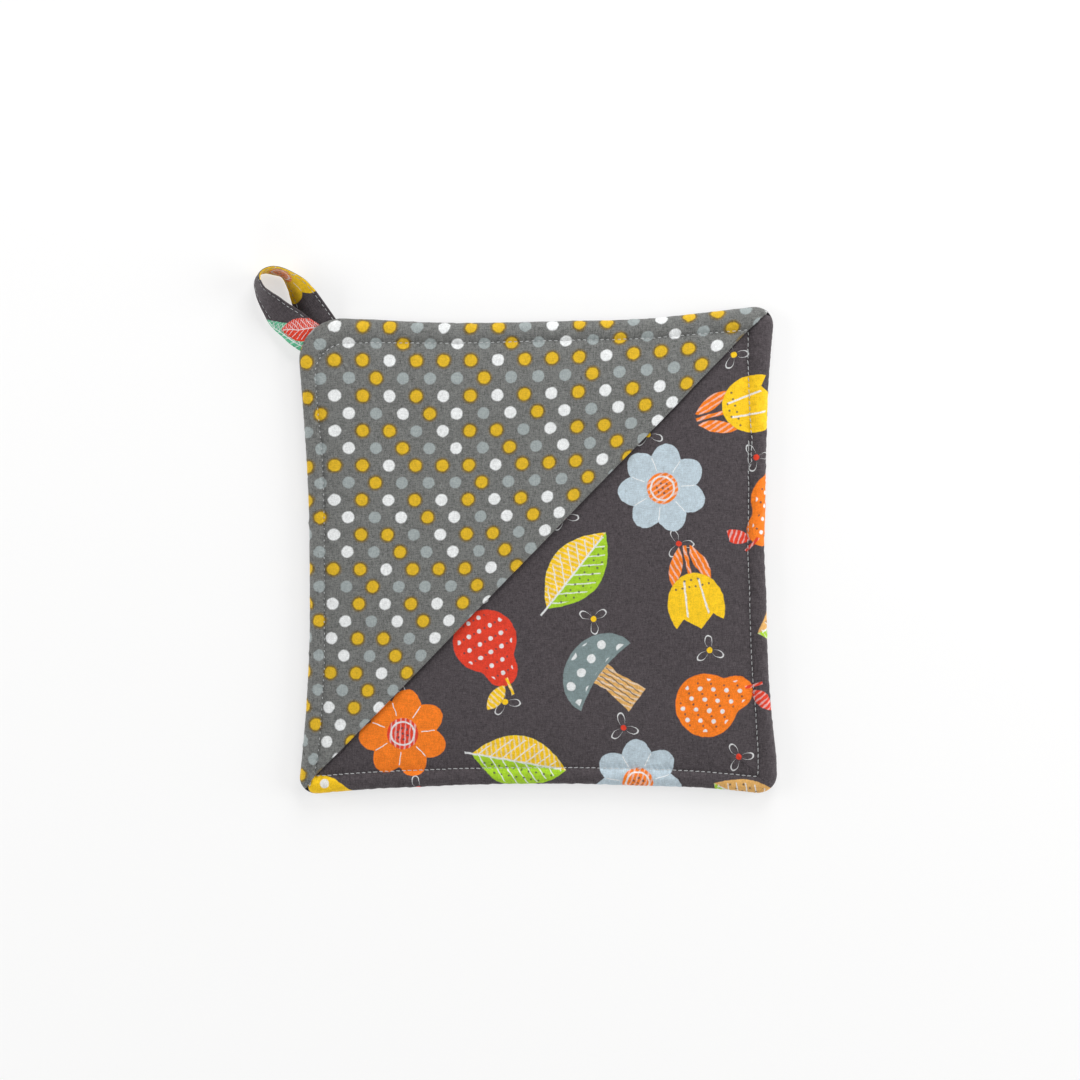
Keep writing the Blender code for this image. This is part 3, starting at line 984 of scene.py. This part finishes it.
def leaf_motif(x, y):
    """Blade, one half of it, rib and veins, and specks."""
    blade = abs(y) - (1.0 - (x / 18.5) ** 2.0) * 10.2
    rib = both(abs(y) - 0.35, abs(x + 3.0) - 19.0)
    slant = (x - abs(y) * 0.9) % 4.6
    veins = both(abs(slant - 2.3) - 0.28, blade + 1.4)
    dark = both(specks(x, y, 2.9, 0.4), y + 0.8, blade + 1.6)
    return blade, both(blade, -y), either(rib, veins), dark


def blossom_motif(x, y):
    """Scalloped petals, eye, rays, and the eye's seeds."""
    lobes = abs((y.use("ARCTAN2", x) * 3.5).use("COSINE"))
    radius = length_of(x, y)
    rays = both(lobes * radius - 0.6, 7.2 - radius, radius - 12.4)
    ring = abs(radius - 4.5) - 0.32
    seeds = both(specks(x, y, 2.0, 0.42), radius - 3.2)
    return radius - 13.0 - lobes * 4.2, radius - 6.0, either(rays, ring), seeds


def pear_motif(x, y):
    """Body, leaf and stalk, and light and dark specks."""
    bulb = ellipse(x, y, 0.0, -5.0, 12.4, 11.8)
    body = bulb.use("SMOOTH_MIN", ellipse(x, y, 0.0, 7.5, 6.4, 6.8), 4.5)
    leaf = both(ellipse(x, y, 5.0, 20.5, 7.4, 7.4), ellipse(x, y, 9.0, 12.0, 7.4, 7.4))
    stalk = both(abs(x - (y - 13.0) * 0.12) - 0.55, abs(y - 15.0) - 3.4)
    light = both(specks(x, y, 4.6, 0.85), body + 1.8)
    return body, either(leaf, stalk), light, both(specks(x + 2.3, y, 4.6, 0.4), body + 1.8)


def toadstool_motif(x, y):
    """Cap, stem, the cap's spots, and the lines down the stem."""
    cap = both(ellipse(x, y, 0.0, 1.0, 16.4, 14.0), 1.5 - y - x * x * 0.01)
    stem = both(abs(x) - 3.8 - abs(y + 4.0) * 0.14, abs(y + 7.0) - 9.0)
    lines = both(abs(x % 1.9 - 0.95) - 0.22, abs(y + 7.0) - 8.0, abs(x) - 3.0)
    spots = both(specks(x + 1.0, y - 1.0, 6.6, 1.7), cap + 1.2)
    return cap, both(stem, -cap), spots, both(lines, -cap)


def tulip_motif(x, y):
    """Cup, stem and leaves, the cup's lines, and specks."""
    points = abs((x / 5.8) % 2.0 - 1.0) * 5.0
    cup = both(ellipse(x, y, 0.0, 5.0, 11.0, 12.8), y - 9.0 - points)
    stem = both(abs(x) - 0.7, abs(y + 12.0) - 6.5)
    below = y + 11.0
    bent = abs(abs(x) - 4.8 + below * -0.35) - 2.6 * (1.0 - (below / 7.5) ** 2.0)
    leaves = both(bent, abs(below) - 7.4)
    lines = both(abs(abs(x) - 3.7 - (y - 4.0) * 0.1) - 0.34, cup + 1.8)
    specked = both(specks(x, y, 2.6, 0.42), cup + 1.4, y + 1.0)
    return cup, both(either(stem, leaves), -cup), lines, specked


MOTIFS = (leaf_motif, blossom_motif, pear_motif, toadstool_motif, tulip_motif)
MOTIF_COLOURS = (LIME, YELLOW, RED, PALE_BLUE, TAN, BLUE_GREY, ORANGE)
SECOND_COLOURS = (YELLOW, ORANGE, YELLOW, ORANGE, LIME, TAN, RED)
MOTIF_ACROSS = 45.0
MOTIF_DOWN = 48.0
MOTIF_SCATTER = 3.0
MOTIF_SIZE = 1.12
MOTIF_EDGE = 0.3
SPRIG_SCATTER = 4.0
SPRIG_RADIUS = 6.4
PRINT_SHIFT = (16.0, -8.0)
PRINT_TURN = math.radians(16.0)

# How much of the yarns' light and dark the printed colours cover; that light and dark
# includes painted shade of the weave and of the topstitch groove.
INK_COVER = 0.6


def half_drop(x, y, offset, scatter, seed):
    """A cell's numbers in a half-drop repeat, and a point's place in it after the cell's own
    shift and turn."""
    column = (x / MOTIF_ACROSS + 0.5).use("FLOOR")
    dropped = y - (column % 2.0) * (0.5 * MOTIF_DOWN) - offset
    row = (dropped / MOTIF_DOWN + 0.5).use("FLOOR")
    shift_x, shift_y, turn = random_numbers(column, row, seed)
    local_x = x - column * MOTIF_ACROSS - (shift_x - 0.5) * scatter
    local_y = dropped - row * MOTIF_DOWN - (shift_y - 0.5) * scatter
    angle = turn * (2.0 * math.pi)
    return column, row, *turned(local_x, local_y, angle.use("COSINE"), angle.use("SINE"))


def motif_masks(motif, x, y, here=1.0):
    """How much of each of a motif's four layers covers a point."""
    return [inside(distance, MOTIF_EDGE) * here for distance in motif(x, y)]


def brushed(colour, masks, body_colour, second_colour, x, y):
    """A motif laid over a colour, mottled and hatched like dry paint."""
    body, second, light, dark = masks
    chalk = inside(noise(x, y, 1.6, 2.0, 14.0) * -1.0 + 0.2, 0.1)
    mottle = 1.0 + noise(x, y, 0.3, 4.0, 13.0) * 0.34 - chalk * 0.07
    slanted = (x + y * 0.3) % 1.9
    hatch = inside(abs(slanted - 0.95) - 0.3 - noise(x, y, 0.4, 1.0, 15.0), 0.3)
    colour = painted(colour, shaded(body_colour, mottle), body)
    colour = painted(colour, shaded(second_colour, mottle), second)
    colour = painted(colour, WHITE, hatch * second * 0.45)
    colour = painted(colour, WHITE, light * 0.93)
    return painted(colour, CHARCOAL, dark * 0.85)


def drawn(x, y):
    """Coordinates with the waver of a hand-drawn line."""
    return x + noise(x, y, 0.35, 3.0, 11.0) * 0.9, y + noise(x, y, 0.35, 3.0, 12.0) * 0.9


def garden_print(x, y):
    """Scattered garden motifs on charcoal, with small white sprigs between."""
    x, y = drawn(x - PRINT_SHIFT[0], y - PRINT_SHIFT[1])
    x, y = turned(x, y, math.cos(PRINT_TURN), math.sin(PRINT_TURN))
    column, row, local_x, local_y = half_drop(x, y, 0.0, MOTIF_SCATTER, 1.0)
    local_x, local_y = local_x / MOTIF_SIZE, local_y / MOTIF_SIZE
    kind = (column + row * 2.0) % float(len(MOTIFS))
    tint = (column * 3.0 + row * 2.0) % float(len(MOTIF_COLOURS))
    layers = [motif_masks(motif, local_x, local_y, kind.use("COMPARE", float(number), 0.25))
              for number, motif in enumerate(MOTIFS)]
    masks = [sum(same[1:], same[0]) for same in zip(*layers)]
    tints = chosen_colour(tint, MOTIF_COLOURS), chosen_colour(tint, SECOND_COLOURS)
    colour = brushed(CHARCOAL, masks, *tints, local_x, local_y)
    bare = (1.0 - masks[0]) * (1.0 - masks[1])
    column, row, local_x, local_y = half_drop(x, y, 0.5 * MOTIF_DOWN, SPRIG_SCATTER, 6.0)
    radius = length_of(local_x, local_y)
    reach = (local_y.use("ARCTAN2", local_x) * 3.0).use("COSINE").use("MAXIMUM", 0.0)
    outline = both(abs(radius - reach ** 0.55 * SPRIG_RADIUS) - 0.3, 1.6 - radius)
    colour = painted(colour, WHITE, inside(outline, MOTIF_EDGE) * bare * 0.85)
    berry = chosen_colour((column + row) % 2.0, (RED, YELLOW))
    return painted(colour, berry, inside(radius - 1.25, MOTIF_EDGE) * bare)


# The loop's motifs: place along it and round it from its outer edge, degrees, size, colours.
LOOP_MOTIFS = (
    (blossom_motif, 9.5, 1.5, 0.0, 0.5, CREAM, TAN),
    (leaf_motif, 18.0, 1.5, -5.0, 0.56, GREEN, GREEN),
    (leaf_motif, 15.0, 8.2, -41.0, 0.5, RED, RED),
    (blossom_motif, 57.0, -7.0, 20.0, 0.95, YELLOW, ORANGE),
)


def loop_print(x, y):
    x, y = drawn(x, y)
    colour = CHARCOAL
    for motif, along, girth, degrees, size, *colours in LOOP_MOTIFS:
        turn = math.radians(degrees)
        place = turned(x - along, y - girth, math.cos(turn) / size, math.sin(turn) / size)
        colour = brushed(colour, motif_masks(motif, *place), *colours, *place)
    return colour


def printed(design):
    """The colouring of charcoal cotton that carries a design."""
    def coloured(x, y, light):
        colour = design(x, y)
        luminance = new_node(x.tree, "RGBToBW", {0: colour})
        inked = inside(0.12 - Field(x.tree, luminance.outputs[0]), 0.1)
        return shaded(colour, light + (1.0 - light) * inked * INK_COVER)
    return coloured


def plain(x, y, light):
    faded = tuple(value * 1.18 for value in CHARCOAL)
    return shaded(painted(CHARCOAL, faded, noise(x, y, 0.02, 3.0, 21.0) + 0.5), light)


def sewing_thread():
    """Pale grey cotton thread, with the slant of its twist painted as lit and shaded stripes."""
    material, tree, shader = empty_material("sewing_thread")
    source = new_node(tree, "TexCoord", {})
    x, y, z = (place / MM for place in parts_of(tree, source.outputs["Object"]))
    painted_twist_shading = ((x + y + z) * (2.0 * math.pi / 0.28)).use("SINE")
    colour = painted(THREAD_IN_PLY_SHADE, THREAD_LIT_PLY, painted_twist_shading * 0.5 + 0.5)
    feed(shader, {"Base Color": colour, "Roughness": 0.6, "Sheen Weight": 0.1})
    return material


def build_padded_front():
    pad = shaped_cloth("front_pad", raised(cloth_grid()), pad_place,
                       "padded_front", "charcoal_print_cotton", printed(garden_print))


def build_back_cloth():
    back = shaped_cloth("back_cloth", raised(cloth_grid()), back_place,
                        "back_panel", "charcoal_plain_cotton", plain)


def folded_triangle():
    """A sheet folded corner to corner, in grid coordinates, with Z as its turn."""
    mesh = cloth_grid()
    everything = mesh.verts[:] + mesh.edges[:] + mesh.faces[:]
    bmesh.ops.bisect_plane(mesh, geom=everything, dist=TINY, plane_co=(0.0, 0.0, 0.0),
                           plane_no=(1.0, -1.0, 0.0), clear_outer=True)
    raised(mesh)
    walls = [face for face in mesh.faces if len({round(v.co.z) for v in face.verts}) == 2]
    outer = [face for face in walls if any(v.co.y - v.co.x > 10.0 * TINY for v in face.verts)]
    bmesh.ops.delete(mesh, geom=outer, context="FACES_ONLY")
    loose = [edge for edge in mesh.edges if not edge.link_faces]
    bmesh.ops.delete(mesh, geom=loose, context="EDGES")
    upright = [edge for edge in mesh.edges if abs(edge.verts[0].co.z - edge.verts[1].co.z) > 0.5]
    bmesh.ops.subdivide_edges(mesh, edges=upright, cuts=FOLD_SEGMENTS - 1)
    return mesh


def build_flap():
    flap = shaped_cloth("dotted_flap", folded_triangle(), flap_place,
                        "pocket_flap", "grey_dotted_cotton", dotted)
    thicken = flap.modifiers.new("leaf", "SOLIDIFY")
    thicken.thickness = LEAF
    thicken.offset = 0.0


def loop_values(along):
    """Place and turn of the loop's middle line, smooth through LOOP_ROUTE."""
    route = np.array(LOOP_ROUTE)
    last = len(route) - 1
    row = np.clip(np.floor(along).astype(int), 0, last - 1)
    share = (along - row)[:, None]
    before, start, end, after = (route[np.clip(row + step, 0, last)] for step in (-1, 0, 1, 2))
    slope_start = 0.5 * (end - before)
    slope_end = 0.5 * (after - start)
    chord = end - start
    cubic = slope_start + slope_end - 2.0 * chord
    square = chord - slope_start - cubic
    values = start + share * (slope_start + share * (square + share * cubic))
    return values[:, :3] * MM, np.radians(values[:, 3])


def loop_frame(along):
    """Middle of the strip, and the ways across it and out of its face."""
    middle, turn = loop_values(along)
    ahead, behind = (loop_values(along + step)[0] for step in (LOOP_SLOPE_STEP, -LOOP_SLOPE_STEP))
    tangent = unit(ahead - behind)
    level = unit(np.cross([0.0, 0.0, 1.0], tangent))
    upright = np.cross(tangent, level)
    cosine, sine = np.cos(turn)[:, None], np.sin(turn)[:, None]
    return middle, level * cosine - upright * sine, upright * cosine + level * sine


def from_loop_row(across):
    """Distance across the strip to the nearer row of stitches."""
    return np.minimum(*(abs(across - row) for row in LOOP_STITCH_ROWS))


def loop_section(angle):
    """The strip's section, across and through, pressed in along its stitches."""
    cosine, sine = np.cos(angle), np.sin(angle)
    across = 0.5 * LOOP_WIDTH * np.sign(cosine) * abs(cosine) ** LOOP_EDGE_POWER
    through = 0.5 * LOOP_CLOTH * np.sign(sine) * abs(sine) ** LOOP_FACE_POWER
    pressed = np.exp(-(from_loop_row(across) / LOOP_PRESSED_OVER) ** 2)
    return across, through * (1.0 - LOOP_PRESSED * pressed)


def loop_lengths():
    """Places along the loop's route, and its length up to each."""
    along = np.linspace(0.0, len(LOOP_ROUTE) - 1.0, LOOP_FINE_STEPS)
    return along, lengths_along(loop_values(along)[0])


def build_loop():
    data = mesh_data("loop_strip", new_grid(LOOP_CELLS_LONG, LOOP_CELLS_ROUND, 0.5))
    long_share, round_share, _ = points_of(data).T
    along = (long_share + 0.5) * (len(LOOP_ROUTE) - 1)
    middle, width_way, face_way = loop_frame(along)
    across, through = loop_section(2.0 * math.pi * round_share)
    fine, lengths = loop_lengths()
    distance = np.interp(along, fine, lengths)
    girth = (0.5 * LOOP_WIDTH - across) * np.where(round_share < 0.0, -1.0, 1.0)
    seam = np.stack([distance / STITCH_PITCH, from_loop_row(across) / MM], axis=-1)
    add_layer(data, "cloth", np.stack([distance, girth], axis=-1))
    add_layer(data, "seam", seam)
    places = middle + width_way * across[:, None] + face_way * through[:, None]
    data.vertices.foreach_set("co", places.ravel())
    weld(data, 0.01 * MM)
    strip = cloth_piece("loop_strip", data,
                        "hanging_loop", "charcoal_loop_cotton", printed(loop_print))


def thread_mesh(name, starts, ends, outward, thickness, material):
    """One joined mesh of stitches, each a short thread that dips in at its ends."""
    mesh = new_grid(THREAD_SECTIONS, THREAD_SIDES, 0.5)
    template = np.array([vertex.co[:] for vertex in mesh.verts])
    faces = np.array([[vertex.index for vertex in face.verts] for face in mesh.faces])
    mesh.free()
    along = template[:, 0] + 0.5
    angle = 2.0 * math.pi * template[:, 1]
    radius = 0.5 * thickness
    round_way = radius * np.sqrt(np.maximum(1.0 - (2.0 * along - 1.0) ** 4, THREAD_TIP))
    rise = THREAD_ARCH * thickness * np.sin(math.pi * along)
    rise = rise + round_way * np.sin(angle) - THREAD_SUNK * radius
    way = ends - starts
    across = unit(np.cross(outward, way))
    places = (starts[:, None] + way[:, None] * along[None, :, None]
              + outward[:, None] * rise[None, :, None]
              + across[:, None] * (round_way * np.cos(angle))[None, :, None])
    first = np.arange(len(starts)) * len(template)
    all_faces = (faces[None] + first[:, None, None]).reshape(-1, 4)
    data = bpy.data.meshes.new(name)
    data.from_pydata(places.reshape(-1, 3).tolist(), [], all_faces.tolist())
    weld(data, 0.005 * MM)
    return finished(name, data, material)


def run_off(level):
    """How far the topstitch runs off its line near its start and end."""
    low, high = BACKTACK
    levels = (low - BACKTACK_EASE[0], low, low + 0.1 * MM, high, high + BACKTACK_EASE[1])
    off = np.interp(level, levels, (0.0, -BACKTACK_OFF, BACKTACK_OFF, BACKTACK_OFF, 0.0))
    return off * RADIUS_A_METRE


def side_of(run):
    corner, middle = run
    if middle[0] == 0:
        return "top" if corner[1] > 0 else "bottom"
    return "right" if corner[0] > 0 else "left"


def perimeter_stitches(face, seed):
    """The starts and ends of the stitches of each run round a face."""
    random = np.random.default_rng(seed)
    stitches = []
    for run in half_sides():
        share, lengths, count = run_stitches(run)
        side = side_of(run)
        shows = STITCH_SHOWS[side] * random.uniform(0.9, 1.1, count)
        sideways = random.normal(0.0, STITCH_DRIFT, (2, count))
        tips = []
        for sign, drift in zip((-1.0, 1.0), sideways):
            tip = (np.arange(count) + 0.5 + 0.5 * sign * shows) / count * lengths[-1]
            at = np.interp(tip, lengths, share)
            radius = STITCH_RADIUS + (drift + sign * STITCH_SLANT)
            if side == "right":
                level = face(*run_grid(run, share))[:, 1]
                radius = radius + run_off(np.interp(at, share, level))
            tips.append(face(*run_grid(run, at, radius)))
        stitches.append(tips)
    return stitches


def backtack_stitches(face):
    """The starts and ends of the first stitches, beside the last ones."""
    run = ((1, 1), (1, 0))
    share = run_stitches(run)[0]
    level = face(*run_grid(run, share))[:, 1]
    edges = np.linspace(*BACKTACK, BACKTACK_STITCHES + 1)
    radius = STITCH_RADIUS - BACKTACK_OFF * RADIUS_A_METRE
    tips = []
    for levels, slant in ((edges[:-1], BACKTACK_SLANT), (edges[1:], -BACKTACK_SLANT)):
        at = np.interp(levels, level[::-1], share[::-1])
        tips.append(face(np.full_like(at, radius + slant), run_grid(run, at)[1]))
    return tips


def face_stitches(face, outward_z, seed):
    """Start, end and outward direction of every stitch on a face."""
    stitches = perimeter_stitches(face, seed) + [backtack_stitches(face)]
    starts, ends = (np.concatenate(tips) for tips in zip(*stitches))
    return starts, ends, np.broadcast_to([0.0, 0.0, outward_z], starts.shape)


def loop_stitches():
    """The two rows of stitches on each face of the loop."""
    fine, lengths = loop_lengths()
    count = int(lengths[-1] / STITCH_PITCH)
    starts, ends, outward = [], [], []
    for face_sign in (-1.0, 1.0):
        for side in LOOP_STITCH_ROWS:
            for tips, share in zip((starts, ends), LOOP_STITCH_SPAN):
                along = np.interp((np.arange(count) + share) * STITCH_PITCH, lengths, fine)
                middle, width_way, face_way = loop_frame(along)
                height = face_sign * LOOP_STITCH_HEIGHT * LOOP_CLOTH
                tips.append(middle + width_way * side + face_way * height)
            outward.append(face_way * face_sign)
    return np.concatenate(starts), np.concatenate(ends), np.concatenate(outward)


def build_stitches():
    thread = sewing_thread()
    thread_mesh("front_topstitch", *face_stitches(outer_front, 1.0, 3), THREAD, thread)
    thread_mesh("back_topstitch", *face_stitches(back_face, -1.0, 5), THREAD, thread)
    thread_mesh("loop_topstitch", *loop_stitches(), LOOP_THREAD, thread)


# The camera looks straight down at the face, where its view is this wide.
VIEW_WIDTH = 0.4666
VIEW_MIDDLE = (0.9 * MM, 4.8 * MM)
LENS = 85.0
SENSOR = 36.0

# The floor's own look, and the lights: place, size in metres and watts.
FLOOR_SIZE = 6.0
FLOOR_LOOK = {
    "Base Color": (0.38, 0.38, 0.378),
    "Roughness": 0.9,
    "Specular IOR Level": 0.1,
    "Emission Color": (1.0, 1.0, 1.0),
    "Emission Strength": 0.59,
}
LIGHTS = {
    "top": ((0.22, 0.85, 0.46), 0.6, 7.0),
    "right": ((1.25, 0.1, 0.5), 0.9, 13.6),
    "left": ((-1.25, 0.1, 0.5), 0.9, 11.6),
    "bottom": ((0.0, -1.25, 0.5), 0.9, 5.2),
}
SKY = {"Color": (1.0, 1.0, 1.0), "Strength": 0.2}


def build_camera():
    camera = placed("camera", bpy.data.cameras.new("camera"))
    camera.data.lens = LENS
    camera.data.sensor_width = SENSOR
    camera.location = (*VIEW_MIDDLE, 0.5 * CAD_BOX[1].z + VIEW_WIDTH * LENS / SENSOR)
    bpy.context.scene.camera = camera


def build_floor():
    bpy.ops.mesh.primitive_plane_add(size=FLOOR_SIZE, location=(0.0, 0.0, CAD_BOX[0].z))
    floor = bpy.context.object
    floor.name = "floor"
    material, _, shader = empty_material("pale_floor")
    feed(shader, FLOOR_LOOK)
    floor.data.materials.append(material)


def build_light():
    """Large square lights that face the middle of the pad, and an even sky."""
    for name, (location, size, watts) in LIGHTS.items():
        lamp = bpy.data.lights.new(name, "AREA")
        lamp.size = size
        lamp.energy = watts
        light = placed(name, lamp)
        light.location = location
        light.rotation_euler = (-Vector(location)).to_track_quat("-Z", "Y").to_euler()
    scene = bpy.context.scene
    scene.world = bpy.data.worlds.new("studio")
    scene.world.use_nodes = True
    feed(scene.world.node_tree.nodes["Background"], SKY)
    scene.view_settings.view_transform = "Standard"


def main():
    build_camera()
    build_floor()
    build_light()
    settle_outer_cloths()
    build_padded_front()
    build_back_cloth()
    build_flap()
    build_loop()
    build_stitches()


main()
